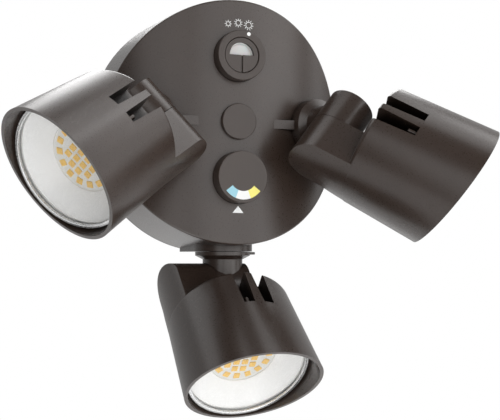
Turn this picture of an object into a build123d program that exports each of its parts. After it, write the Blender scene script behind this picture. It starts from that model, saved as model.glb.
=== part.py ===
from build123d import *
from math import atan, degrees, radians, sqrt, tan
import os

# Flood light with three turning heads on a round wall canopy.
# The wall is the plane y = 0, the front faces -Y, Z is up, and the origin is
# the middle of the canopy's back. Sizes are in millimetres, angles in degrees.

# Canopy
gasket_thickness = 2.0
canopy_radius = 86.5
canopy_depth = 68.4
canopy_draft = 3.35
canopy_wall = 3.2
face_curve_radius = 136.6
face_edge_radius = 1.2
bar_inner_x = 24.0
bar_outer_x = 44.0
bar_height = 6.2
bar_top_depth = 65.7

# Seats for the arms
side_arm_x = 58.3
side_arm_angle = 17.7
side_seat_height = 6.7
lower_arm_depth = 36.8
lower_pad_radius = 20.5
lower_pad_height = 0.2
seat_radius = 18.6
seat_length = 14.0
seal_groove_radius = 12.5
seal_wire_radius = 1.3

# Rest position of the heads, as swivel about the arm and tilt about the knuckle
side_swivel = 132.0
side_tilt = -45.0
lower_swivel = 0.0
lower_tilt = 49.0

# Arms
running_clearance = 0.05
turning_gap = 0.35
flange_radius = 19.0
flange_thickness = 2.5
flange_cone = 2.7
neck_radius = 13.8
arm_reach = 24.5
stud_radius = 8.0
wire_bore_radius = 3.6
tab_length = 4.2
tab_width = 6.0
tab_thickness = 1.8
knuckle_radius = 16.2
knuckle_far_end = 15.5
knuckle_ear_end = 8.6
knuckle_edge = 0.8
nut_height = 5.0
nut_across_flats = 22.0
nut_flange_radius = 15.0
nut_flange_thickness = 1.6
stud_tail = 1.5

# Heads, along the lamp's axis from the knuckle's pivot
head_rear = 24.0
head_rear_radius = 42.3
head_flare = 2.4
head_drop = 6.4
head_rear_edge = 3.0
lip_reach = 87.7
lip_slope = 17.0
lip_wall = 2.3
ear_flank_start = 8.0
ear_flank_spread = 7.8
heat_sink_front = 58.5
sink_cavity_radius = 23.0
sink_cavity_rear = 30.0
slot_width = 7.0
slot_rear_width = 9.2
slot_spacing = 13.4
slot_shift = 2.8
slot_front = 54.3
slot_floor = 22.0
slot_boss_radius = 1.6
slot_boss_length = 6.0
slot_boss_setback = 4.0
lens_seat_radius = 40.9
front_ledge = 73.4
bezel_front = 74.4
bezel_height = 1.5
bezel_width = 2.2
bezel_edge = 0.3
bezel_groove_setback = 0.45
bezel_groove_width = 0.7
bezel_groove_depth = 0.7
lens_thickness = 1.8
reflector_rim = 1.0
reflector_wall = 1.2
reflector_ledge = 1.3
gasket_height = 0.8
led_board_radius = 31.0
led_board_thickness = 1.6
led_field_radius = 22.5
led_size = 4.0
led_height = 0.7
led_column_pitch = 5.8
led_row_pitch = 6.2
led_inner_shift = 0.7
led_outer_shift = -1.8
led_ring_radius = 18.3
led_ring_count = 15
led_screw_circle = 28.2
led_screw_count = 3
led_screw_radius = 1.2
led_screw_head_radius = 2.0
led_screw_head_height = 1.2
led_screw_length = 6.0
pivot_bolt_radius = 3.0
pivot_bolt_head_radius = 5.5
pivot_bolt_head_height = 3.5
pivot_bolt_grip = 14.0
pivot_washer_radius = 6.5
pivot_washer_thickness = 0.8
saddle_gap = 0.5
wire_way_radius = 10.0
wire_way_width = 4.6
wire_way_depth = 5.0

# Plug, dials and the photocell
plug_radius = 12.1
plug_height = 3.2
plug_stem_radius = 7.0
plug_stem_length = 5.0
dial_recess_depth = 1.4
dial_edge = 0.7
brightness_dial_z = 43.8
brightness_dial_radius = 16.9
brightness_dial_height = 8.0
dial_sleeve_radius = 13.8
shutter_radius = 11.6
shutter_thickness = 2.4
shutter_skirt = 6.0
window_radius = 8.6
driver_slot_width = 1.6
tube_radius = 9.3
tube_wall = 1.3
tube_front_below_shutter = 0.6
diffuser_thickness = 1.5
sensor_radius = 2.5
sensor_height = 5.0
colour_dial_z = -37.8
colour_dial_radius = 17.4
colour_dial_height = 10.5
colour_stem_radius = 4.0
clip_thickness = 1.5
clip_width = 2.6
clip_setback = 6.0

# Mounting pieces
post_radius = 10.0
center_bolt_radius = 2.5
center_bolt_head_radius = 5.0
center_bolt_head_height = 3.5
bolt_recess = 10.0
bar_length = 112.0
bar_width = 24.0
bar_thickness = 2.0
bar_hub_radius = 6.0
bar_hub_height = 4.0
box_screw_spacing = 88.9
box_slot_width = 5.0
box_slot_length = 13.0

# Driver
board_width = 70.0
board_length = 116.0
board_center_z = 3.0
board_depth = 40.0
board_thickness = 1.6
board_corner = 4.0
standoff_radius = 3.6
standoff_inset = 5.0
screw_radius = 1.5
screw_head_radius = 2.8
screw_head_height = 2.0
screw_length = 8.0
switch_height = 9.0
colour_switch_side = 15.0
cover_depth = 18.0
cover_wall = 1.6
cover_brim_side = 4.0
cover_brim_end = 10.0
bushing_z = 24.0
bushing_radius = 5.0
bushing_bore = 2.6
bushing_lip = 1.8

os.makedirs("parts", exist_ok=True)

wall_plane = Plane(origin=(0, 0, 0), x_dir=(1, 0, 0), z_dir=(0, -1, 0))
face_axis_y = face_curve_radius - canopy_depth


def face_depth(x):
    """Depth of the curved front at a distance x from its middle."""
    return canopy_depth - face_curve_radius + sqrt(face_curve_radius**2 - x**2)


def head_radius(along):
    """Outer radius of a head at a distance along its axis from the pivot."""
    return head_rear_radius + (along - head_rear) * tan(radians(head_flare))


def save(piece, name):
    """Labels a finished piece and writes it to its own file."""
    piece.label = name
    export_step(piece, f"parts/{name}.step")


class Arm:
    """Where one arm sits, which way it points and how its head rests."""

    def __init__(self, name, seat, outward, down, swivel, tilt, mirrored):
        top = down.rotate(Axis((0, 0, 0), outward), swivel)
        bend = Axis((0, 0, 0), outward.cross(top))
        lamp = outward.rotate(bend, tilt)
        top = top.rotate(bend, tilt)
        side = top.cross(lamp)
        self.name = name
        self.mirrored = mirrored
        self.pivot = seat + outward * arm_reach
        self.seat_plane = Plane(origin=seat, x_dir=side, z_dir=outward)
        self.head_plane = Plane(origin=self.pivot, x_dir=side, z_dir=lamp)


def side_arm(name, sign):
    """A side arm, which leaves the curved face at a slant."""
    outward = Vector(0, -1, 0).rotate(Axis.Z, sign * side_arm_angle)
    foot = Vector(sign * side_arm_x, -face_depth(side_arm_x), 0)
    seat = foot + outward * side_seat_height
    swivel = -sign * side_swivel
    return Arm(name, seat, outward, Vector(0, 0, -1), swivel, side_tilt, sign < 0)


lower_seat = Vector(0, -lower_arm_depth, -canopy_radius - lower_pad_height)
lower_arm = Arm("lower", lower_seat, Vector(0, 0, -1), Vector(0, -1, 0), lower_swivel, lower_tilt, False)
arms = [side_arm("left", -1), side_arm("right", 1), lower_arm]


def canopy_form(shrink):
    """The canopy's closed outline, drawn in all round by shrink."""
    with BuildPart() as form:
        with BuildSketch(wall_plane.offset(gasket_thickness)):
            Circle(canopy_radius - shrink)
        extrude(amount=canopy_depth, taper=canopy_draft)
        with BuildSketch(Plane.XY):
            with Locations((0, face_axis_y)):
                Circle(face_curve_radius - shrink)
        extrude(amount=canopy_radius, both=True, mode=Mode.INTERSECT)
    return form.part


# Places of the standoffs that carry the driver board
standoff_x = board_width - 2 * standoff_inset
standoff_z = board_length - 2 * standoff_inset
board_front = board_depth + board_thickness
stud_bore = stud_radius + running_clearance
brightness_hole = dial_sleeve_radius + turning_gap
colour_hole = colour_stem_radius + turning_gap
post_rear = bar_thickness + bar_hub_height
dial_floor = canopy_depth - dial_recess_depth

with BuildPart() as canopy_housing:
    add(canopy_form(0))
    fillet(canopy_housing.faces().sort_by(Axis.Y)[0].edges(), face_edge_radius)
    add(canopy_form(canopy_wall), mode=Mode.SUBTRACT)
    # straight bars beside the side seats
    with BuildSketch(wall_plane.offset(bar_top_depth)):
        with Locations(((bar_inner_x + bar_outer_x) / 2, 0), (-(bar_inner_x + bar_outer_x) / 2, 0)):
            Rectangle(bar_outer_x - bar_inner_x, bar_height)
    extrude(amount=-(bar_top_depth - face_depth(bar_outer_x) + canopy_wall / 2))
    # round seats of the side arms
    for arm in arms[:2]:
        with BuildSketch(arm.seat_plane):
            Circle(seat_radius)
        extrude(amount=-seat_length)
    # flat pad of the lower arm, which runs back to the wall
    with BuildSketch(Plane(origin=(0, 0, lower_seat.Z))):
        with Locations((0, lower_seat.Y)):
            Circle(lower_pad_radius)
        with Locations((0, (lower_seat.Y - gasket_thickness) / 2)):
            Rectangle(2 * lower_pad_radius, lower_arm_depth - gasket_thickness)
    extrude(amount=seat_length)
    # centre post for the mounting bolt and standoffs for the driver board
    with BuildSketch(wall_plane.offset(post_rear)):
        Circle(post_radius)
    extrude(amount=canopy_depth - canopy_wall / 2 - post_rear)
    with BuildSketch(wall_plane.offset(board_front)):
        with Locations((0, board_center_z)):
            with GridLocations(standoff_x, standoff_z, 2, 2):
                Circle(standoff_radius)
    extrude(amount=face_depth(standoff_x / 2) - canopy_wall / 2 - board_front)
    with BuildSketch(wall_plane.offset(board_front)):
        with Locations((0, board_center_z)):
            with GridLocations(standoff_x, standoff_z, 2, 2):
                Circle(screw_radius)
    extrude(amount=screw_length, mode=Mode.SUBTRACT)
    # bores and seal grooves for the three hollow studs
    for arm in arms:
        with BuildSketch(arm.seat_plane):
            Circle(stud_bore)
        extrude(amount=-seat_length, mode=Mode.SUBTRACT)
        with BuildSketch(arm.seat_plane):
            Circle(seal_groove_radius + seal_wire_radius)
            Circle(seal_groove_radius - seal_wire_radius, mode=Mode.SUBTRACT)
        extrude(amount=-2 * seal_wire_radius, mode=Mode.SUBTRACT)
    # flat recesses and holes of the two dials
    for dial_z, dial_radius, hole in (
        (brightness_dial_z, brightness_dial_radius, brightness_hole),
        (colour_dial_z, colour_dial_radius, colour_hole),
    ):
        with BuildSketch(wall_plane.offset(dial_floor)):
            with Locations((0, dial_z)):
                Circle(dial_radius + turning_gap)
        extrude(amount=canopy_depth, mode=Mode.SUBTRACT)
        with BuildSketch(wall_plane.offset(canopy_depth - 2 * canopy_wall)):
            with Locations((0, dial_z)):
                Circle(hole)
        extrude(amount=canopy_depth, mode=Mode.SUBTRACT)
    # seat of the plug and stepped hole of the centre bolt
    with BuildSketch(wall_plane.offset(face_depth(plug_radius))):
        Circle(plug_radius + running_clearance)
    extrude(amount=canopy_depth, mode=Mode.SUBTRACT)
    with BuildSketch(wall_plane.offset(canopy_depth - bolt_recess)):
        Circle(plug_stem_radius)
    extrude(amount=canopy_depth, mode=Mode.SUBTRACT)
    with BuildSketch(wall_plane):
        Circle(center_bolt_radius + running_clearance)
    extrude(amount=canopy_depth, mode=Mode.SUBTRACT)
save(canopy_housing.part, "canopy_housing")

with BuildPart() as wall_gasket:
    with BuildSketch(wall_plane):
        Circle(canopy_radius)
        Circle(canopy_radius - canopy_wall, mode=Mode.SUBTRACT)
    extrude(amount=gasket_thickness)
save(wall_gasket.part, "wall_gasket")

with BuildPart() as swivel_seals:
    for arm in arms:
        groove = arm.seat_plane.offset(-seal_wire_radius)
        ring = Plane(origin=groove.origin, x_dir=groove.x_dir, z_dir=groove.y_dir)
        with BuildSketch(ring):
            with Locations((seal_groove_radius, 0)):
                Circle(seal_wire_radius)
        revolve(axis=Axis(groove.origin, groove.z_dir))
save(swivel_seals.part, "swivel_seals")

# Mounting bar, centre bolt and plug

with BuildPart() as mounting_bar:
    with BuildSketch(wall_plane):
        RectangleRounded(bar_length, bar_width, bar_width / 4)
        with Locations((-box_screw_spacing / 2, 0), (box_screw_spacing / 2, 0)):
            SlotOverall(box_slot_length, box_slot_width, mode=Mode.SUBTRACT)
    extrude(amount=bar_thickness)
    with BuildSketch(wall_plane.offset(bar_thickness)):
        Circle(bar_hub_radius)
    extrude(amount=bar_hub_height)
    with BuildSketch(wall_plane):
        Circle(center_bolt_radius + running_clearance)
    extrude(amount=post_rear, mode=Mode.SUBTRACT)
save(mounting_bar.part, "mounting_bar")

bolt_head_seat = canopy_depth - bolt_recess
with BuildPart() as center_bolt:
    with BuildSketch(wall_plane):
        Circle(center_bolt_radius)
    extrude(amount=bolt_head_seat)
    with BuildSketch(wall_plane.offset(bolt_head_seat)):
        Circle(center_bolt_head_radius)
    extrude(amount=center_bolt_head_height)
    fillet(center_bolt.faces().sort_by(Axis.Y)[0].edges(), center_bolt_head_height / 4)
save(center_bolt.part, "center_bolt")

plug_seat = face_depth(plug_radius)
with BuildPart() as center_plug:
    with BuildSketch(wall_plane.offset(plug_seat)):
        Circle(plug_radius)
    extrude(amount=canopy_depth + plug_height - plug_seat)
    fillet(center_plug.faces().sort_by(Axis.Y)[0].edges(), dial_edge)
    with BuildSketch(wall_plane.offset(plug_seat)):
        Circle(plug_stem_radius - running_clearance)
    extrude(amount=-plug_stem_length)
save(center_plug.part, "center_plug")

# Brightness dial with the photocell and its shutter inside

dial_foot = dial_floor + turning_gap
switch_front = board_front + switch_height
shutter_bore = shutter_radius + turning_gap
brightness_plane = Plane(origin=(0, 0, brightness_dial_z), x_dir=(1, 0, 0), z_dir=(0, -1, 0))
colour_plane = Plane(origin=(0, 0, colour_dial_z), x_dir=(1, 0, 0), z_dir=(0, -1, 0))
brightness_top = canopy_depth + brightness_dial_height

with BuildPart() as brightness_dial:
    with BuildSketch(brightness_plane.offset(dial_foot)):
        Circle(brightness_dial_radius)
        Circle(shutter_bore, mode=Mode.SUBTRACT)
    extrude(amount=brightness_top - dial_foot)
    fillet(brightness_dial.faces().sort_by(Axis.Y)[0].edges(), dial_edge)
    with BuildSketch(brightness_plane.offset(switch_front + turning_gap)):
        Circle(dial_sleeve_radius)
        Circle(shutter_bore, mode=Mode.SUBTRACT)
    extrude(amount=dial_foot - switch_front - turning_gap)
save(brightness_dial.part, "brightness_dial")

with BuildPart() as brightness_clip:
    with BuildSketch(brightness_plane.offset(canopy_depth - clip_setback)):
        Circle(dial_sleeve_radius + clip_width)
        Circle(dial_sleeve_radius, mode=Mode.SUBTRACT)
    extrude(amount=-clip_thickness)
save(brightness_clip.part, "brightness_clip")

tube_front = brightness_top - dial_edge - shutter_thickness - tube_front_below_shutter
with BuildPart() as photocell_tube:
    with BuildSketch(brightness_plane.offset(board_front)):
        Circle(tube_radius)
        Circle(tube_radius - tube_wall, mode=Mode.SUBTRACT)
    extrude(amount=tube_front - board_front)
save(photocell_tube.part, "photocell_tube")

with BuildPart() as photocell_diffuser:
    with BuildSketch(brightness_plane.offset(tube_front - diffuser_thickness)):
        Circle(tube_radius - tube_wall)
    extrude(amount=diffuser_thickness)
    fillet(photocell_diffuser.faces().sort_by(Axis.Y)[0].edges(), diffuser_thickness / 3)
save(photocell_diffuser.part, "photocell_diffuser")

with BuildPart() as photocell_sensor:
    with BuildSketch(brightness_plane.offset(board_front)):
        Circle(sensor_radius)
    extrude(amount=sensor_height)
    fillet(photocell_sensor.faces().sort_by(Axis.Y)[0].edges(), sensor_radius / 2)
save(photocell_sensor.part, "photocell_sensor")

shutter_top = brightness_top - dial_edge
with BuildPart() as photocell_shutter:
    with BuildSketch(brightness_plane.offset(shutter_top)):
        Circle(shutter_radius)
    extrude(amount=-shutter_thickness)
    with BuildSketch(brightness_plane.offset(shutter_top - shutter_thickness)):
        Circle(shutter_radius)
        Circle(tube_radius + turning_gap, mode=Mode.SUBTRACT)
    extrude(amount=-shutter_skirt)
    # half-moon window over the photocell and the slot for a driver below it
    with BuildSketch(brightness_plane.offset(shutter_top)):
        Circle(window_radius)
        with Locations((0, -window_radius / 2)):
            Rectangle(2 * window_radius, window_radius, mode=Mode.SUBTRACT)
    extrude(amount=-shutter_thickness, mode=Mode.SUBTRACT)
    with BuildSketch(brightness_plane.offset(shutter_top)):
        with Locations((0, -shutter_radius / 2)):
            Rectangle(driver_slot_width, shutter_radius)
    extrude(amount=-shutter_thickness / 2, mode=Mode.SUBTRACT)
save(photocell_shutter.part, "photocell_shutter")

with BuildPart() as brightness_switch:
    with BuildSketch(brightness_plane.offset(board_front)):
        Circle(dial_sleeve_radius)
        Circle(tube_radius + turning_gap, mode=Mode.SUBTRACT)
    extrude(amount=switch_height)
save(brightness_switch.part, "brightness_switch")

# Colour dial

with BuildPart() as colour_dial:
    with BuildSketch(colour_plane.offset(dial_foot)):
        Circle(colour_dial_radius)
    extrude(amount=canopy_depth + colour_dial_height - dial_foot)
    fillet(colour_dial.faces().sort_by(Axis.Y)[0].edges(), dial_edge)
    with BuildSketch(colour_plane.offset(switch_front + turning_gap)):
        Circle(colour_stem_radius)
    extrude(amount=dial_foot - switch_front - turning_gap)
save(colour_dial.part, "colour_dial")

with BuildPart() as colour_clip:
    with BuildSketch(colour_plane.offset(canopy_depth - clip_setback)):
        Circle(colour_stem_radius + clip_width)
        Circle(colour_stem_radius, mode=Mode.SUBTRACT)
    extrude(amount=-clip_thickness)
save(colour_clip.part, "colour_clip")

with BuildPart() as colour_switch:
    with BuildSketch(colour_plane.offset(board_front)):
        RectangleRounded(colour_switch_side, colour_switch_side, colour_switch_side / 8)
    extrude(amount=switch_height)
save(colour_switch.part, "colour_switch")

# Driver board with its pieces

board_plane = Plane(origin=(0, 0, board_center_z), x_dir=(1, 0, 0), z_dir=(0, -1, 0))
crown_width = board_width - 2 * cover_brim_side
crown_length = board_length - 2 * cover_brim_end
brim_rear = board_depth - cover_wall
part_rear = cover_depth + cover_wall + 2 * bushing_lip

with BuildPart() as driver_board:
    with BuildSketch(board_plane.offset(board_depth)):
        RectangleRounded(board_width, board_length, board_corner)
        with GridLocations(standoff_x, standoff_z, 2, 2):
            Circle(screw_radius, mode=Mode.SUBTRACT)
        with Locations((0, -board_center_z)):
            Circle(post_radius + turning_gap, mode=Mode.SUBTRACT)
    extrude(amount=board_thickness)
save(driver_board.part, "driver_board")

with BuildPart() as driver_components:
    # transformer, two tall capacitors, a choke and a row of flat packages
    with BuildSketch(board_plane.offset(board_depth)):
        with Locations((-crown_width / 4, crown_length / 4)):
            Rectangle(crown_width / 3, crown_length / 5)
        with Locations((crown_width / 4, crown_length / 3), (crown_width / 4, crown_length / 6)):
            Circle(crown_width / 10)
    extrude(amount=part_rear - board_depth)
    with BuildSketch(board_plane.offset(board_depth)):
        with Locations((crown_width / 4, -crown_length / 4)):
            Circle(crown_width / 7)
        with Locations((-crown_width / 4, -crown_length / 4)):
            with GridLocations(crown_width / 6, crown_length / 9, 2, 3):
                Rectangle(crown_width / 9, crown_length / 16)
    extrude(amount=(part_rear - board_depth) / 2)
save(driver_components.part, "driver_components")

with BuildPart() as driver_cover:
    with BuildSketch(board_plane.offset(brim_rear)):
        RectangleRounded(board_width, board_length, board_corner)
        with GridLocations(standoff_x, standoff_z, 2, 2):
            Circle(screw_radius, mode=Mode.SUBTRACT)
    extrude(amount=cover_wall)
    with BuildSketch(board_plane.offset(cover_depth)):
        RectangleRounded(crown_width, crown_length, board_corner)
    extrude(amount=brim_rear - cover_depth)
    with BuildSketch(board_plane.offset(cover_depth + cover_wall)):
        Rectangle(crown_width - 2 * cover_wall, crown_length - 2 * cover_wall)
    extrude(amount=board_depth, mode=Mode.SUBTRACT)
    with BuildSketch(board_plane.offset(cover_depth)):
        with Locations((0, -board_center_z)):
            Circle(post_radius + turning_gap)
        with Locations((0, bushing_z - board_center_z)):
            Circle(bushing_radius)
    extrude(amount=cover_wall, mode=Mode.SUBTRACT)
save(driver_cover.part, "driver_cover")

with BuildPart() as driver_screws:
    with BuildSketch(board_plane.offset(brim_rear)):
        with GridLocations(standoff_x, standoff_z, 2, 2):
            Circle(screw_radius)
    extrude(amount=board_front + screw_length - brim_rear)
    with BuildSketch(board_plane.offset(brim_rear)):
        with GridLocations(standoff_x, standoff_z, 2, 2):
            Circle(screw_head_radius)
    extrude(amount=-screw_head_height)
save(driver_screws.part, "driver_screws")

bushing_plane = Plane(origin=(0, -cover_depth, bushing_z), x_dir=(1, 0, 0), z_dir=(0, -1, 0))
with BuildPart() as lead_bushing:
    with BuildSketch(bushing_plane):
        Circle(bushing_radius)
    extrude(amount=cover_wall)
    with BuildSketch(bushing_plane):
        Circle(bushing_radius + bushing_lip)
    extrude(amount=-bushing_lip)
    with BuildSketch(bushing_plane.offset(cover_wall)):
        Circle(bushing_radius + bushing_lip)
    extrude(amount=bushing_lip)
    with BuildSketch(bushing_plane.offset(-bushing_lip)):
        Circle(bushing_bore)
    extrude(amount=cover_wall + 2 * bushing_lip, mode=Mode.SUBTRACT)
save(lead_bushing.part, "lead_bushing")

# Arm and its nut, drawn with the seat at the origin, the arm along Z and the
# knuckle along X. The head's ear is at the -X end of the knuckle.

flange_top = turning_gap + flange_thickness
nut_top = -seat_length - turning_gap
stud_end = nut_top - nut_height - stud_tail
knuckle_plane = Plane(origin=(0, 0, arm_reach), x_dir=(0, 1, 0), z_dir=(1, 0, 0))
bolt_recess_depth = pivot_bolt_head_height + 2 * turning_gap
wire_turn = arm_reach - wire_way_radius

with BuildPart() as swivel_arm:
    with BuildSketch(Plane.XY.offset(turning_gap)):
        Circle(flange_radius)
        with Locations((flange_radius, 0)):
            Rectangle(2 * tab_length, tab_width)
    extrude(amount=tab_thickness)
    with BuildSketch(Plane.XY.offset(turning_gap)):
        Circle(flange_radius)
    extrude(amount=flange_thickness)
    with BuildSketch(Plane.XY.offset(flange_top)):
        Circle(flange_radius)
    extrude(amount=flange_cone, taper=degrees(atan((flange_radius - neck_radius) / flange_cone)))
    with BuildSketch(Plane.XY.offset(flange_top)):
        Circle(neck_radius)
    extrude(amount=arm_reach - flange_top)
    # round saddle that lets the head's ear turn past the neck
    with BuildSketch(knuckle_plane.offset(-knuckle_ear_end)):
        Circle(knuckle_radius + saddle_gap)
    extrude(amount=-neck_radius, mode=Mode.SUBTRACT)
    with BuildSketch(knuckle_plane.offset(knuckle_far_end)):
        Circle(knuckle_radius)
    extrude(amount=-knuckle_far_end - knuckle_ear_end)
    fillet(swivel_arm.faces().sort_by(Axis.X)[-1].edges(), knuckle_edge)
    # hollow stud and the way of the wires to the ear's side of the knuckle
    with BuildSketch(Plane.XY.offset(turning_gap)):
        Circle(stud_radius)
    extrude(amount=stud_end - turning_gap)
    with BuildSketch(Plane.XY.offset(stud_end)):
        Circle(wire_bore_radius)
    extrude(amount=wire_turn + wire_way_width / 2 - stud_end, mode=Mode.SUBTRACT)
    with BuildSketch(Plane(origin=(0, 0, wire_turn), x_dir=(0, 1, 0), z_dir=(1, 0, 0))):
        Circle(wire_way_width / 2)
    extrude(amount=-knuckle_ear_end, mode=Mode.SUBTRACT)
    # stepped hole of the pivot bolt
    with BuildSketch(knuckle_plane.offset(knuckle_far_end)):
        Circle(pivot_bolt_radius + running_clearance)
    extrude(amount=-knuckle_far_end - knuckle_ear_end, mode=Mode.SUBTRACT)
    with BuildSketch(knuckle_plane.offset(knuckle_far_end)):
        Circle(pivot_bolt_head_radius + turning_gap)
    extrude(amount=-bolt_recess_depth, mode=Mode.SUBTRACT)

with BuildPart() as swivel_nut:
    with BuildSketch(Plane.XY.offset(nut_top)):
        Circle(nut_flange_radius)
    extrude(amount=-nut_flange_thickness)
    with BuildSketch(Plane.XY.offset(nut_top)):
        RegularPolygon(nut_across_flats / 2, 6, major_radius=False)
    extrude(amount=-nut_height)
    with BuildSketch(Plane.XY.offset(nut_top)):
        Circle(stud_radius)
    extrude(amount=-nut_height, mode=Mode.SUBTRACT)

# Head and what rides in it, drawn with the pivot at the origin, the lamp's
# axis along Z, the knuckle along X and the cooling slots on the +Y side.

ear_inner = knuckle_ear_end + turning_gap
ear_root = head_rear + head_rear_edge
bezel_rear = bezel_front - bezel_height
lens_rear = bezel_rear - lens_thickness
reflector_top = lens_rear - gasket_height
reflector_seat = reflector_top - reflector_rim
led_board_front = heat_sink_front + led_board_thickness
bezel_radius = lens_seat_radius - running_clearance
bezel_inner_radius = bezel_radius - bezel_width
slot_top = head_radius(slot_front)
slot_boss_top = slot_top - head_drop - slot_boss_setback
lip_lift = tan(radians(lip_slope))
lip_plane = Plane(origin=(0, -head_drop, lip_reach), x_dir=(1, 0, 0), z_dir=(0, -lip_lift, 1))
head_top = lip_reach + lip_lift * head_radius(2 * lip_reach)
lamp_axis = Axis((0, -head_drop, 0), (0, 0, 1))


def head_level(along):
    """A plane across the head's axis at a distance from the pivot."""
    return Plane(origin=(0, -head_drop, along))


with BuildPart() as head_ear:
    with BuildSketch(Plane.YZ.offset(-ear_inner)):
        Circle(knuckle_radius)
        with BuildLine():
            Polyline(
                (knuckle_radius, 0),
                (knuckle_radius, ear_root),
                (-knuckle_radius - ear_flank_spread, ear_root),
                (-knuckle_radius, ear_flank_start),
                (-knuckle_radius, 0),
                close=True,
            )
        make_face()
    extrude(amount=-head_rear_radius)
    with BuildSketch(head_level(-2 * knuckle_radius)):
        Circle(head_rear_radius)
    extrude(amount=2 * head_rear + 2 * knuckle_radius, mode=Mode.INTERSECT)

with BuildPart() as head_housing:
    with BuildSketch(head_level(head_rear)):
        Circle(head_rear_radius)
    extrude(amount=head_top - head_rear, taper=-head_flare)
    fillet(head_housing.faces().sort_by(Axis.Z)[0].edges(), head_rear_edge)
    split(bisect_by=lip_plane, keep=Keep.BOTTOM)
    add(head_ear.part)
    # hollows for the wires, the LED board with its reflector, the lens and the lip
    with BuildSketch(head_level(sink_cavity_rear)):
        Circle(sink_cavity_radius)
    extrude(amount=heat_sink_front - sink_cavity_rear, mode=Mode.SUBTRACT)
    with BuildSketch(head_level(heat_sink_front)):
        Circle(lens_seat_radius - reflector_ledge)
    extrude(amount=reflector_seat - heat_sink_front, mode=Mode.SUBTRACT)
    with BuildSketch(head_level(reflector_seat)):
        Circle(lens_seat_radius)
    extrude(amount=front_ledge - reflector_seat, mode=Mode.SUBTRACT)
    with BuildSketch(head_level(front_ledge)):
        Circle(head_radius(front_ledge) - lip_wall)
    extrude(amount=head_top - front_ledge, taper=-head_flare, mode=Mode.SUBTRACT)
    # cooling slots, open at the rear and wider there
    with BuildSketch(Plane.XZ.offset(-slot_floor)):
        with Locations((slot_shift, 0)):
            with GridLocations(slot_spacing, 0, 2, 1):
                Polygon(
                    (-slot_rear_width / 2, head_rear),
                    (slot_rear_width / 2, head_rear),
                    (slot_width / 2, slot_front),
                    (-slot_width / 2, slot_front),
                    align=None,
                )
    extrude(amount=slot_floor - slot_top, mode=Mode.SUBTRACT)
    # small boss at the end of the slot next to the ear
    with BuildSketch(Plane.XY.offset(slot_front)):
        with Locations((slot_shift - slot_spacing / 2, slot_boss_top)):
            Circle(slot_boss_radius)
        with Locations((slot_shift - slot_spacing / 2, (slot_boss_top + slot_floor) / 2)):
            Rectangle(2 * slot_boss_radius, slot_boss_top - slot_floor)
    extrude(amount=-slot_boss_length)
    # holes of the LED board's screws
    with BuildSketch(head_level(heat_sink_front)):
        with PolarLocations(led_screw_circle, led_screw_count, start_angle=-90):
            Circle(led_screw_radius)
    extrude(amount=-led_screw_length, mode=Mode.SUBTRACT)
    # hole of the pivot bolt, pocket of the friction washer and way of the wires
    with BuildSketch(Plane.YZ.offset(-ear_inner)):
        Circle(pivot_bolt_radius)
    extrude(amount=-pivot_bolt_grip, mode=Mode.SUBTRACT)
    with BuildSketch(Plane.YZ.offset(-ear_inner)):
        Circle(pivot_washer_radius)
    extrude(amount=-pivot_washer_thickness, mode=Mode.SUBTRACT)
    with BuildSketch(Plane.YZ.offset(-ear_inner)):
        Circle(wire_way_radius + wire_way_width / 2)
        Circle(wire_way_radius - wire_way_width / 2, mode=Mode.SUBTRACT)
    extrude(amount=-wire_way_depth, mode=Mode.SUBTRACT)
    with BuildSketch(Plane.XY.offset(wire_way_radius)):
        with Locations((-ear_inner - wire_way_depth / 2, 0)):
            Circle(wire_way_width / 2)
    extrude(amount=sink_cavity_rear - wire_way_radius, mode=Mode.SUBTRACT)

with BuildPart() as pivot_bolt:
    with BuildSketch(Plane.YZ.offset(knuckle_far_end - bolt_recess_depth + turning_gap)):
        Circle(pivot_bolt_head_radius)
    extrude(amount=pivot_bolt_head_height)
    fillet(pivot_bolt.faces().sort_by(Axis.X)[-1].edges(), pivot_bolt_head_height / 4)
    with BuildSketch(Plane.YZ.offset(-ear_inner - pivot_bolt_grip)):
        Circle(pivot_bolt_radius)
    extrude(amount=ear_inner + pivot_bolt_grip + knuckle_far_end - bolt_recess_depth + turning_gap)

with BuildPart() as friction_washer:
    with BuildSketch(Plane.YZ.offset(-ear_inner)):
        Circle(pivot_washer_radius)
        Circle(pivot_bolt_radius, mode=Mode.SUBTRACT)
    extrude(amount=-pivot_washer_thickness)

with BuildPart() as led_board:
    with BuildSketch(head_level(heat_sink_front)):
        Circle(led_board_radius)
        with PolarLocations(led_screw_circle, led_screw_count, start_angle=-90):
            Circle(led_screw_radius, mode=Mode.SUBTRACT)
    extrude(amount=led_board_thickness)

with BuildPart() as led_chips:
    # a ring of packages round two long and two short columns
    with BuildSketch(head_level(led_board_front)):
        with PolarLocations(led_ring_radius, led_ring_count, start_angle=-90):
            Rectangle(led_size, led_size)
        with Locations((0, led_inner_shift)):
            with GridLocations(led_column_pitch, led_row_pitch, 2, 5):
                Rectangle(led_size, led_size)
        with Locations((0, led_outer_shift)):
            with GridLocations(3 * led_column_pitch, led_row_pitch, 2, 3):
                Rectangle(led_size, led_size)
    extrude(amount=led_height)

with BuildPart() as led_screws:
    with BuildSketch(head_level(led_board_front)):
        with PolarLocations(led_screw_circle, led_screw_count, start_angle=-90):
            Circle(led_screw_radius)
    extrude(amount=-led_board_thickness - led_screw_length)
    with BuildSketch(head_level(led_board_front)):
        with PolarLocations(led_screw_circle, led_screw_count, start_angle=-90):
            Circle(led_screw_head_radius)
    extrude(amount=led_screw_head_height)

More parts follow.
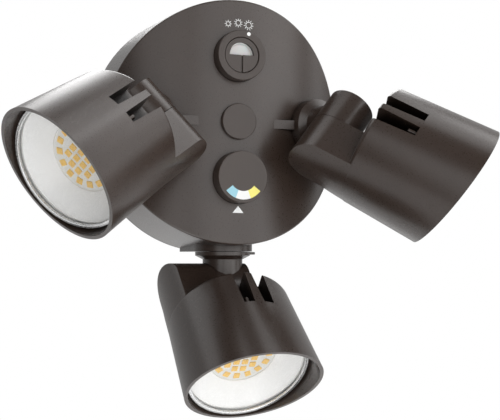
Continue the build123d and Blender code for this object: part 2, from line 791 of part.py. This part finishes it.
lamp_profile = Plane(origin=(0, -head_drop, 0), x_dir=(1, 0, 0), z_dir=(0, -1, 0))
cone_rise = reflector_top - led_board_front - reflector_wall
cone_run = bezel_inner_radius - led_field_radius
cone_root = led_field_radius + (reflector_seat - led_board_front) * cone_run / cone_rise
with BuildPart() as reflector:
    with BuildSketch(lamp_profile):
        with BuildLine():
            Polyline(
                (led_field_radius, led_board_front),
                (led_field_radius, led_board_front + reflector_wall),
                (bezel_inner_radius, reflector_top),
                (bezel_radius, reflector_top),
                (bezel_radius, reflector_seat),
                (cone_root, reflector_seat),
                close=True,
            )
        make_face()
    revolve(axis=lamp_axis)

with BuildPart() as lens_gasket:
    with BuildSketch(head_level(reflector_top)):
        Circle(bezel_radius)
        Circle(bezel_inner_radius, mode=Mode.SUBTRACT)
    extrude(amount=gasket_height)

with BuildPart() as lens:
    with BuildSketch(head_level(lens_rear)):
        Circle(bezel_radius)
    extrude(amount=lens_thickness)

with BuildPart() as bezel:
    with BuildSketch(head_level(bezel_rear)):
        Circle(bezel_radius)
        Circle(bezel_inner_radius, mode=Mode.SUBTRACT)
    extrude(amount=bezel_height)
    fillet(bezel.faces().sort_by(Axis.Z)[-1].edges(), bezel_edge)
    with BuildSketch(head_level(bezel_front)):
        Circle(bezel_radius - bezel_groove_setback)
        Circle(bezel_radius - bezel_groove_setback - bezel_groove_width, mode=Mode.SUBTRACT)
    extrude(amount=-bezel_groove_depth, mode=Mode.SUBTRACT)

# The three arms and heads in their places; the left one is the other hand


def place(piece, name, plane, mirrored):
    """Sets a piece in its place, as its mirror image for the left head."""
    with BuildPart() as placed:
        with Locations(plane):
            add(mirror(piece, about=Plane.YZ, mode=Mode.PRIVATE) if mirrored else piece)
    save(placed.part, name)


for arm in arms:
    place(swivel_arm.part, f"{arm.name}_swivel_arm", arm.seat_plane, arm.mirrored)
    place(swivel_nut.part, f"{arm.name}_swivel_nut", arm.seat_plane, arm.mirrored)
    place(head_housing.part, f"{arm.name}_head_housing", arm.head_plane, arm.mirrored)
    place(pivot_bolt.part, f"{arm.name}_pivot_bolt", arm.head_plane, arm.mirrored)
    place(friction_washer.part, f"{arm.name}_friction_washer", arm.head_plane, arm.mirrored)
    place(led_board.part, f"{arm.name}_led_board", arm.head_plane, arm.mirrored)
    place(led_chips.part, f"{arm.name}_led_chips", arm.head_plane, arm.mirrored)
    place(led_screws.part, f"{arm.name}_led_screws", arm.head_plane, arm.mirrored)
    place(reflector.part, f"{arm.name}_reflector", arm.head_plane, arm.mirrored)
    place(lens_gasket.part, f"{arm.name}_lens_gasket", arm.head_plane, arm.mirrored)
    place(lens.part, f"{arm.name}_lens", arm.head_plane, arm.mirrored)
    place(bezel.part, f"{arm.name}_bezel", arm.head_plane, arm.mirrored)
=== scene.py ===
import math

import bmesh
import bpy
from mathutils import Matrix, Vector


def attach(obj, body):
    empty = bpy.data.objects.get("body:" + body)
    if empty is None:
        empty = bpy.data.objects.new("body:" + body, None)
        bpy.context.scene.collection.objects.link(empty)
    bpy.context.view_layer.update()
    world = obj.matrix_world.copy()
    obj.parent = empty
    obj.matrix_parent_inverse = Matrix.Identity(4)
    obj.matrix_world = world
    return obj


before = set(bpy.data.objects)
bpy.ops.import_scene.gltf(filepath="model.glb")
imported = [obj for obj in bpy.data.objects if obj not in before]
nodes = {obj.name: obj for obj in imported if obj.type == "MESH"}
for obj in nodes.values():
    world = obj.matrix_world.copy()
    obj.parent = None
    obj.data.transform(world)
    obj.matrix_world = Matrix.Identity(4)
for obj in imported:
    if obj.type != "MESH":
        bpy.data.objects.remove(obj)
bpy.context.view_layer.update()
scene = bpy.context.scene
MM = 0.001

# Sizes shared with the solids, in millimetres
FACE_DEPTH = 68.4
FACE_CURVE = 136.6
BRIGHTNESS_Z = 43.8
BRIGHTNESS_TOP = 76.4
COLOUR_Z = -37.8
COLOUR_TOP = 78.9
SIDES = ("left", "right", "lower")

# Printed marks, in millimetres and degrees; angles are from straight up, clockwise as seen from the front
PRINT_LIFT = 0.05
MERGE = 0.001
ROUND_STEPS = 24
SUNS = (
    # name, middle (x, z), radius, rays
    ("sun_small", (-7.1, 65.9), 2.7, 8),
    ("sun_middle", (0.0, 66.9), 3.3, 10),
    ("sun_large", (7.5, 66.0), 3.8, 11),
)
SUN_LINE = 0.40
SUN_RING = 0.58             # shares of the sun's radius
SUN_RAY_FOOT = 0.68
SUN_RAY_HALF = 0.24         # share of the angle between two rays
POINTER_TIP = (0.0, -56.6)
POINTER_FOOT = (0.0, -61.3)
POINTER_HALF = 3.9
DOT_PLACE = 15.0
DOT_ANGLE = 18.0
DOT_RADIUS = 1.3
ARC_INNER = 9.5
ARC_OUTER = 15.1
ARC_STEPS = 12
ARCS = (
    # name, start, end, material
    ("colour_arc_cool", 232, 201, "mark_blue"),
    ("colour_arc_middle", 201, 160, "mark_white"),
    ("colour_arc_warm", 160, 128, "mark_yellow"),
)

# Surfaces
PATCH_EDGES = (0.35, 0.65)      # where the patches turn from the dark tone to the light one
NOISE_MIDDLE = (0.3, 0.7)       # the part of a noise that is spread over the roughness
PATCH_NOISE = (4.0, 0.6)        # detail and roughness of the noises
GRAIN_NOISE = (3.0, 0.55)
RELIEF_HEIGHT = 0.0002
# Painted shade in the coat's recesses: how far the walls are sought, where the shade starts and ends, its
# darkest share, and its samples
RECESS_REACH = 0.020
RECESS_EDGES = (0.32, 0.72)     # share of open sky in a deep recess and outside it
RECESS_LEAST = 0.2
RECESS_SAMPLES = 8
LENS_ALPHA = 0.06
LENS_IOR = 1.49
OPAL_DEPTH = 0.002
OPAL_WEIGHT = 0.2

# Floor, room and lamps, in metres and watts
WHITE = (1, 1, 1, 1)
FLOOR_Z = -1.0
FLOOR_RADIUS = 3.0
FLOOR_SEGMENTS = 128
FLOOR_FADE = (0.6, 2.6)         # from the shadow's place to the white far floor
FLOOR_GLOW = (0.5, 1.0)
ROOM_LEVEL = 0.09
BACK_EDGES = (0.0, 0.5)
BACK_LEVEL = 0.55
LAMP_CENTRE = Vector((0.0, -0.06, -0.05))
LAMP_DISTANCE = 1.7
LAMPS = (
    # name, azimuth, elevation, width, height, power
    ("front_left", -28, 5, 1.05, 1.6, 7.3),
    ("front", 10, 5, 1.05, 1.6, 10.2),
    ("front_right", 46, 5, 1.05, 1.6, 12.8),
    ("side_right", 82, 5, 0.5, 1.6, 4.1),
    ("low_left", -23, -28, 0.9, 0.9, 6.6),
    ("high_right", 90, 45, 0.9, 0.9, 5.8),
    ("top_right", 72, 68, 0.9, 0.9, 4.6),
    ("top_back", 160, 42, 1.2, 0.9, 14.0),
    ("back_left", 234, 38, 0.9, 0.9, 2.3),
    ("top_left", 290, 62, 1.1, 0.9, 8.2),
)

# Camera: its place in metres, its axes, and its focal length in pixels of a picture of the given width
CAMERA_PLACE = Vector((-0.242893, -0.740842, -0.094624))
CAMERA_RIGHT = Vector((0.936642, -0.350286, 0.000946))
CAMERA_UP = Vector((-0.018150, -0.045834, 0.998784))
FOCAL_PIXELS = 1071.06
PICTURE_WIDTH = 500.0
SENSOR_WIDTH = 36.0


# Parts of materials

def noise(tree, coords, scale, detail, rough):
    """A noise over the object's own coordinates."""
    tex = tree.nodes.new("ShaderNodeTexNoise")
    tex.inputs["Scale"].default_value = scale
    tex.inputs["Detail"].default_value = detail
    tex.inputs["Roughness"].default_value = rough
    tree.links.new(coords.outputs["Object"], tex.inputs["Vector"])
    return tex.outputs["Fac"]


def remap(tree, source, start, end, soft=True):
    """A value taken from one range to another, by a soft step or in a straight line."""
    node = tree.nodes.new("ShaderNodeMapRange")
    node.interpolation_type = "SMOOTHSTEP" if soft else "LINEAR"
    for label, value in zip(("From Min", "From Max", "To Min", "To Max"), (*start, *end)):
        node.inputs[label].default_value = value
    tree.links.new(source, node.inputs["Value"])
    return node.outputs["Result"]


def combine(tree, operation, first, second):
    """Two values put together by an operation."""
    node = tree.nodes.new("ShaderNodeMath")
    node.operation = operation
    tree.links.new(first, node.inputs[0])
    tree.links.new(second, node.inputs[1])
    return node.outputs[0]


def textured(name, dark, light, rough, grain, relief, metal=0.0, patch=35.0, spec=0.5):
    """A surface with soft patches of colour, grain in its gloss and a fine relief."""
    mat = bpy.data.materials.new(name)
    mat.use_nodes = True
    tree = mat.node_tree
    shader = tree.nodes["Principled BSDF"]
    coords = tree.nodes.new("ShaderNodeTexCoord")
    tone = tree.nodes.new("ShaderNodeValToRGB")
    for element, place, colour in zip(tone.color_ramp.elements, PATCH_EDGES, (dark, light)):
        element.position = place
        element.color = (*colour, 1.0)
    tree.links.new(noise(tree, coords, patch, *PATCH_NOISE), tone.inputs["Fac"])
    tree.links.new(tone.outputs["Color"], shader.inputs["Base Color"])
    fine = noise(tree, coords, grain, *GRAIN_NOISE)
    tree.links.new(remap(tree, fine, NOISE_MIDDLE, rough, soft=False), shader.inputs["Roughness"])
    bump = tree.nodes.new("ShaderNodeBump")
    bump.inputs["Strength"].default_value = relief
    bump.inputs["Distance"].default_value = RELIEF_HEIGHT
    tree.links.new(fine, bump.inputs["Height"])
    tree.links.new(bump.outputs["Normal"], shader.inputs["Normal"])
    shader.inputs["Metallic"].default_value = metal
    shader.inputs["Specular IOR Level"].default_value = spec
    return mat


def shader_of(mat):
    """The shader of a textured surface."""
    return mat.node_tree.nodes["Principled BSDF"]


def paint_recess_shade(mat):
    """Paints shade into a coat: darkens its colour and takes its gloss away where the same piece's walls
    close round it.
    """
    tree, shader = mat.node_tree, shader_of(mat)
    open_sky = tree.nodes.new("ShaderNodeAmbientOcclusion")
    open_sky.only_local = True
    open_sky.samples = RECESS_SAMPLES
    open_sky.inputs["Distance"].default_value = RECESS_REACH
    share = remap(tree, open_sky.outputs["AO"], RECESS_EDGES, (RECESS_LEAST, 1.0))
    colour = shader.inputs["Base Color"]
    darker = tree.nodes.new("ShaderNodeVectorMath")
    darker.operation = "SCALE"
    tree.links.new(colour.links[0].from_socket, darker.inputs[0])
    tree.links.new(share, darker.inputs["Scale"])
    tree.links.new(darker.outputs["Vector"], colour)
    gloss = shader.inputs["Specular IOR Level"]
    shaded_gloss = tree.nodes.new("ShaderNodeMath")
    shaded_gloss.operation = "MULTIPLY"
    shaded_gloss.inputs[1].default_value = gloss.default_value
    tree.links.new(share, shaded_gloss.inputs[0])
    tree.links.new(shaded_gloss.outputs["Value"], gloss)


# Materials: dark and light tone, least and greatest roughness, fineness of the grain, strength of the relief
LOOKS = {
    "powder_coat": dict(
        dark=(0.0306, 0.0200, 0.0153), light=(0.0348, 0.0228, 0.0174), rough=(0.26, 0.34), grain=1100.0,
        relief=0.07, spec=0.57),
    "moulded_bronze": dict(
        dark=(0.0306, 0.0200, 0.0153), light=(0.0341, 0.0224, 0.0171), rough=(0.34, 0.46), grain=1600.0,
        relief=0.08, spec=0.55),
    "black_plastic": dict(
        dark=(0.012, 0.012, 0.012), light=(0.02, 0.02, 0.02), rough=(0.45, 0.6), grain=1400.0, relief=0.10),
    "white_plastic": dict(
        dark=(0.74, 0.74, 0.72), light=(0.80, 0.80, 0.78), rough=(0.35, 0.45), grain=900.0, relief=0.04),
    "rubber": dict(
        dark=(0.012, 0.012, 0.013), light=(0.025, 0.025, 0.026), rough=(0.7, 0.85), grain=1800.0, relief=0.2),
    "zinc_steel": dict(
        dark=(0.50, 0.50, 0.48), light=(0.62, 0.62, 0.60), rough=(0.28, 0.42), grain=700.0, relief=0.08,
        metal=1.0, patch=120.0),
    "circuit_board": dict(
        dark=(0.015, 0.09, 0.035), light=(0.022, 0.12, 0.05), rough=(0.25, 0.35), grain=500.0, relief=0.06),
    "led_board_white": dict(
        dark=(0.78, 0.78, 0.76), light=(0.84, 0.84, 0.82), rough=(0.35, 0.45), grain=600.0, relief=0.04),
    "led_phosphor": dict(
        dark=(0.88, 0.50, 0.045), light=(0.95, 0.60, 0.09), rough=(0.25, 0.35), grain=900.0, relief=0.06,
        patch=400.0),
    "reflector_white": dict(
        dark=(0.93, 0.93, 0.92), light=(0.955, 0.955, 0.945), rough=(0.22, 0.30), grain=500.0, relief=0.02),
    "bezel_silver": dict(
        dark=(0.62, 0.62, 0.62), light=(0.70, 0.70, 0.70), rough=(0.24, 0.32), grain=900.0, relief=0.03,
        metal=1.0),
    "clear_silicone": dict(
        dark=(0.62, 0.62, 0.61), light=(0.70, 0.70, 0.69), rough=(0.35, 0.5), grain=900.0, relief=0.05),
    "opal_diffuser": dict(
        dark=(0.54, 0.54, 0.53), light=(0.60, 0.60, 0.59), rough=(0.3, 0.4), grain=900.0, relief=0.05),
    "mark_white": dict(
        dark=(0.78, 0.79, 0.78), light=(0.84, 0.85, 0.84), rough=(0.4, 0.5), grain=1500.0, relief=0.05),
    "mark_blue": dict(
        dark=(0.27, 0.54, 0.64), light=(0.31, 0.58, 0.68), rough=(0.4, 0.5), grain=1500.0, relief=0.05),
    "mark_yellow": dict(
        dark=(0.82, 0.74, 0.16), light=(0.86, 0.79, 0.20), rough=(0.4, 0.5), grain=1500.0, relief=0.05),
    "lens_clear": dict(
        dark=(0.92, 0.94, 0.94), light=(0.96, 0.97, 0.97), rough=(0.02, 0.05), grain=60.0, relief=0.01),
    "floor_white": dict(
        dark=(0.86, 0.86, 0.86), light=(0.90, 0.90, 0.90), rough=(0.6, 0.7), grain=50.0, relief=0.0),
}
surface = {name: textured(name, **look) for name, look in LOOKS.items()}

# Painted shade, darker and less glossy, in the recesses of the powder-coated canopy, arms and heads
paint_recess_shade(surface["powder_coat"])
shader_of(surface["opal_diffuser"]).inputs["Subsurface Weight"].default_value = OPAL_WEIGHT
shader_of(surface["opal_diffuser"]).inputs["Subsurface Scale"].default_value = OPAL_DEPTH
shader_of(surface["lens_clear"]).inputs["Alpha"].default_value = LENS_ALPHA
shader_of(surface["lens_clear"]).inputs["IOR"].default_value = LENS_IOR
surface["lens_clear"].surface_render_method = "BLENDED"

# The pieces of each surface, without the side that stands before the names of arms and heads
PIECES = {
    "powder_coat": ("canopy_housing", "swivel_arm", "head_housing"),
    "moulded_bronze": ("center_plug", "brightness_dial", "photocell_shutter", "colour_dial"),
    "black_plastic": (
        "brightness_switch", "colour_switch", "driver_components", "driver_cover", "brightness_clip",
        "colour_clip"),
    "white_plastic": ("photocell_tube",),
    "opal_diffuser": ("photocell_diffuser", "photocell_sensor"),
    "rubber": ("wall_gasket", "lead_bushing", "swivel_seals"),
    "clear_silicone": ("lens_gasket",),
    "zinc_steel": (
        "mounting_bar", "center_bolt", "driver_screws", "swivel_nut", "pivot_bolt", "friction_washer",
        "led_screws"),
    "circuit_board": ("driver_board",),
    "led_board_white": ("led_board",),
    "led_phosphor": ("led_chips",),
    "reflector_white": ("reflector",),
    "lens_clear": ("lens",),
    "bezel_silver": ("bezel",),
}
by_piece = {piece: surface[name] for name, pieces in PIECES.items() for piece in pieces}
for name, obj in nodes.items():
    plain = name
    for side in SIDES:
        plain = plain.removeprefix(side + "_")
    obj.data.materials.clear()
    obj.data.materials.append(by_piece[plain])


# Printed marks, built as thin raised prints on the faces that carry them

def face_depth(x):
    """Depth of the canopy's curved face at a distance from its middle."""
    return FACE_DEPTH - FACE_CURVE + math.sqrt(FACE_CURVE**2 - x**2)


def around(cx, cz, radius, angle):
    """The point (x, z) at an angle on a circle."""
    turn = math.radians(angle)
    return cx + radius * math.sin(turn), cz + radius * math.cos(turn)


def printed(name, shapes, depth, mat, body):
    """A closed print made of flat shapes, each a ring of (x, z) points, raised a little off a face."""
    mesh = bmesh.new()
    for shape in shapes:
        mesh.faces.new([mesh.verts.new((x * MM, -(depth(x) - PRINT_LIFT) * MM, z * MM)) for x, z in shape])
    bmesh.ops.remove_doubles(mesh, verts=mesh.verts[:], dist=MERGE * MM)
    risen = bmesh.ops.extrude_face_region(mesh, geom=mesh.faces[:])
    raised = [v for v in risen["geom"] if isinstance(v, bmesh.types.BMVert)]
    bmesh.ops.translate(mesh, vec=(0, -2 * PRINT_LIFT * MM, 0), verts=raised)
    bmesh.ops.recalc_face_normals(mesh, faces=mesh.faces[:])
    data = bpy.data.meshes.new(name)
    mesh.to_mesh(data)
    mesh.free()
    obj = bpy.data.objects.new(name, data)
    scene.collection.objects.link(obj)
    data.materials.append(mat)
    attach(obj, body)


def band(cx, cz, inner, outer, start, end, steps):
    """Four-cornered pieces of a ring."""
    angles = [start + (end - start) * i / steps for i in range(steps + 1)]
    near = [around(cx, cz, inner, angle) for angle in angles]
    far = [around(cx, cz, outer, angle) for angle in angles]
    return [[near[i], far[i], far[i + 1], near[i + 1]] for i in range(steps)]


def sun(cx, cz, radius, rays):
    """A thin ring with short pointed rays standing off it."""
    ring = radius * SUN_RING
    shapes = band(cx, cz, ring - SUN_LINE, ring, 0, 360, ROUND_STEPS)
    step, foot = 360 / rays, radius * SUN_RAY_FOOT
    half = step * SUN_RAY_HALF
    for k in range(rays):
        mid = step * k
        shapes.append([
            around(cx, cz, foot, mid - half), around(cx, cz, radius, mid), around(cx, cz, foot, mid + half)])
    return shapes


for name, place, radius, rays in SUNS:
    printed(name, sun(*place, radius, rays), face_depth, surface["mark_white"], "canopy")

# The pointer is split down the middle, so that it follows the curved face
pointer = [
    [(-POINTER_HALF, POINTER_FOOT[1]), POINTER_FOOT, POINTER_TIP],
    [POINTER_FOOT, (POINTER_HALF, POINTER_FOOT[1]), POINTER_TIP],
]
printed("colour_pointer", pointer, face_depth, surface["mark_white"], "canopy")

dot = band(*around(0.0, BRIGHTNESS_Z, DOT_PLACE, DOT_ANGLE), 0.0, DOT_RADIUS, 0, 360, ROUND_STEPS)
printed("brightness_dot", dot, lambda x: BRIGHTNESS_TOP, surface["mark_white"], "brightness")

for name, start, end, paint in ARCS:
    arc = band(0.0, COLOUR_Z, ARC_INNER, ARC_OUTER, start, end, ARC_STEPS)
    printed(name, arc, lambda x: COLOUR_TOP, surface[paint], "colour")


# Floor: it takes the shadow below the part and is white further out

floor_data = bpy.data.meshes.new("floor")
floor_mesh = bmesh.new()
bmesh.ops.create_circle(floor_mesh, cap_ends=True, segments=FLOOR_SEGMENTS, radius=FLOOR_RADIUS)
floor_mesh.to_mesh(floor_data)
floor_mesh.free()
floor = bpy.data.objects.new("floor", floor_data)
floor.location = (0, 0, FLOOR_Z)
scene.collection.objects.link(floor)
floor_data.materials.append(surface["floor_white"])

floor_tree = surface["floor_white"].node_tree
floor_shader = shader_of(surface["floor_white"])
floor_path = floor_tree.nodes.new("ShaderNodeLightPath")
floor_seen = floor_path.outputs["Is Camera Ray"]
for kind in ("Is Glossy Ray", "Is Transmission Ray"):
    floor_seen = combine(floor_tree, "MAXIMUM", floor_seen, floor_path.outputs[kind])
floor_place = floor_tree.nodes.new("ShaderNodeTexCoord")
floor_far = floor_tree.nodes.new("ShaderNodeVectorMath")
floor_far.operation = "LENGTH"
floor_tree.links.new(floor_place.outputs["Object"], floor_far.inputs[0])
floor_glow = remap(floor_tree, floor_far.outputs["Value"], FLOOR_FADE, FLOOR_GLOW)
floor_shader.inputs["Emission Color"].default_value = WHITE
floor_tree.links.new(combine(floor_tree, "MULTIPLY", floor_glow, floor_seen),
                     floor_shader.inputs["Emission Strength"])


# Room: the white background is behind the part, and the room in front of it is darker

world = bpy.data.worlds.new("studio")
scene.world = world
world.use_nodes = True
room_tree = world.node_tree
room = room_tree.nodes["Background"]
room.inputs["Color"].default_value = WHITE
room.inputs["Strength"].default_value = ROOM_LEVEL
white_back = room_tree.nodes.new("ShaderNodeBackground")
white_back.inputs["Color"].default_value = WHITE
white_back.inputs["Strength"].default_value = 1.0
room_way = room_tree.nodes.new("ShaderNodeTexCoord")
room_axes = room_tree.nodes.new("ShaderNodeSeparateXYZ")
room_tree.links.new(room_way.outputs["Generated"], room_axes.inputs["Vector"])
behind = remap(room_tree, room_axes.outputs["Y"], BACK_EDGES, (0.0, BACK_LEVEL))
room_path = room_tree.nodes.new("ShaderNodeLightPath")
mirrored_back = combine(room_tree, "MULTIPLY", room_path.outputs["Is Glossy Ray"], behind)
room_seen = room_path.outputs["Is Camera Ray"]
for other in (room_path.outputs["Is Transmission Ray"], mirrored_back):
    room_seen = combine(room_tree, "MAXIMUM", room_seen, other)
room_mix = room_tree.nodes.new("ShaderNodeMixShader")
room_tree.links.new(room_seen, room_mix.inputs["Fac"])
room_tree.links.new(room.outputs["Background"], room_mix.inputs[1])
room_tree.links.new(white_back.outputs["Background"], room_mix.inputs[2])
room_tree.links.new(room_mix.outputs["Shader"], room_tree.nodes["World Output"].inputs["Surface"])


# Lamps and camera

def softbox(name, azimuth, elevation, width, height, power):
    """A flat lamp that faces the part; the azimuth is from the front, towards the right."""
    turn, lift = math.radians(azimuth), math.radians(elevation)
    way = Vector((math.sin(turn) * math.cos(lift), -math.cos(turn) * math.cos(lift), math.sin(lift)))
    data = bpy.data.lights.new(name, "AREA")
    data.shape = "RECTANGLE"
    data.size = width
    data.size_y = height
    data.energy = power
    obj = bpy.data.objects.new(name, data)
    obj.location = LAMP_CENTRE + way * LAMP_DISTANCE
    obj.rotation_euler = (-way).to_track_quat("-Z", "Y").to_euler()
    obj.visible_camera = False
    scene.collection.objects.link(obj)


for lamp in LAMPS:
    softbox(*lamp)

camera_data = bpy.data.cameras.new("camera")
camera_data.sensor_fit = "HORIZONTAL"
camera_data.sensor_width = SENSOR_WIDTH
camera_data.lens = FOCAL_PIXELS * SENSOR_WIDTH / PICTURE_WIDTH
camera = bpy.data.objects.new("camera", camera_data)
camera_axes = Matrix((CAMERA_RIGHT, CAMERA_UP, CAMERA_RIGHT.cross(CAMERA_UP))).transposed()
camera.matrix_world = Matrix.Translation(CAMERA_PLACE) @ camera_axes.to_4x4()
scene.collection.objects.link(camera)
scene.camera = camera
scene.view_settings.view_transform = "Standard"
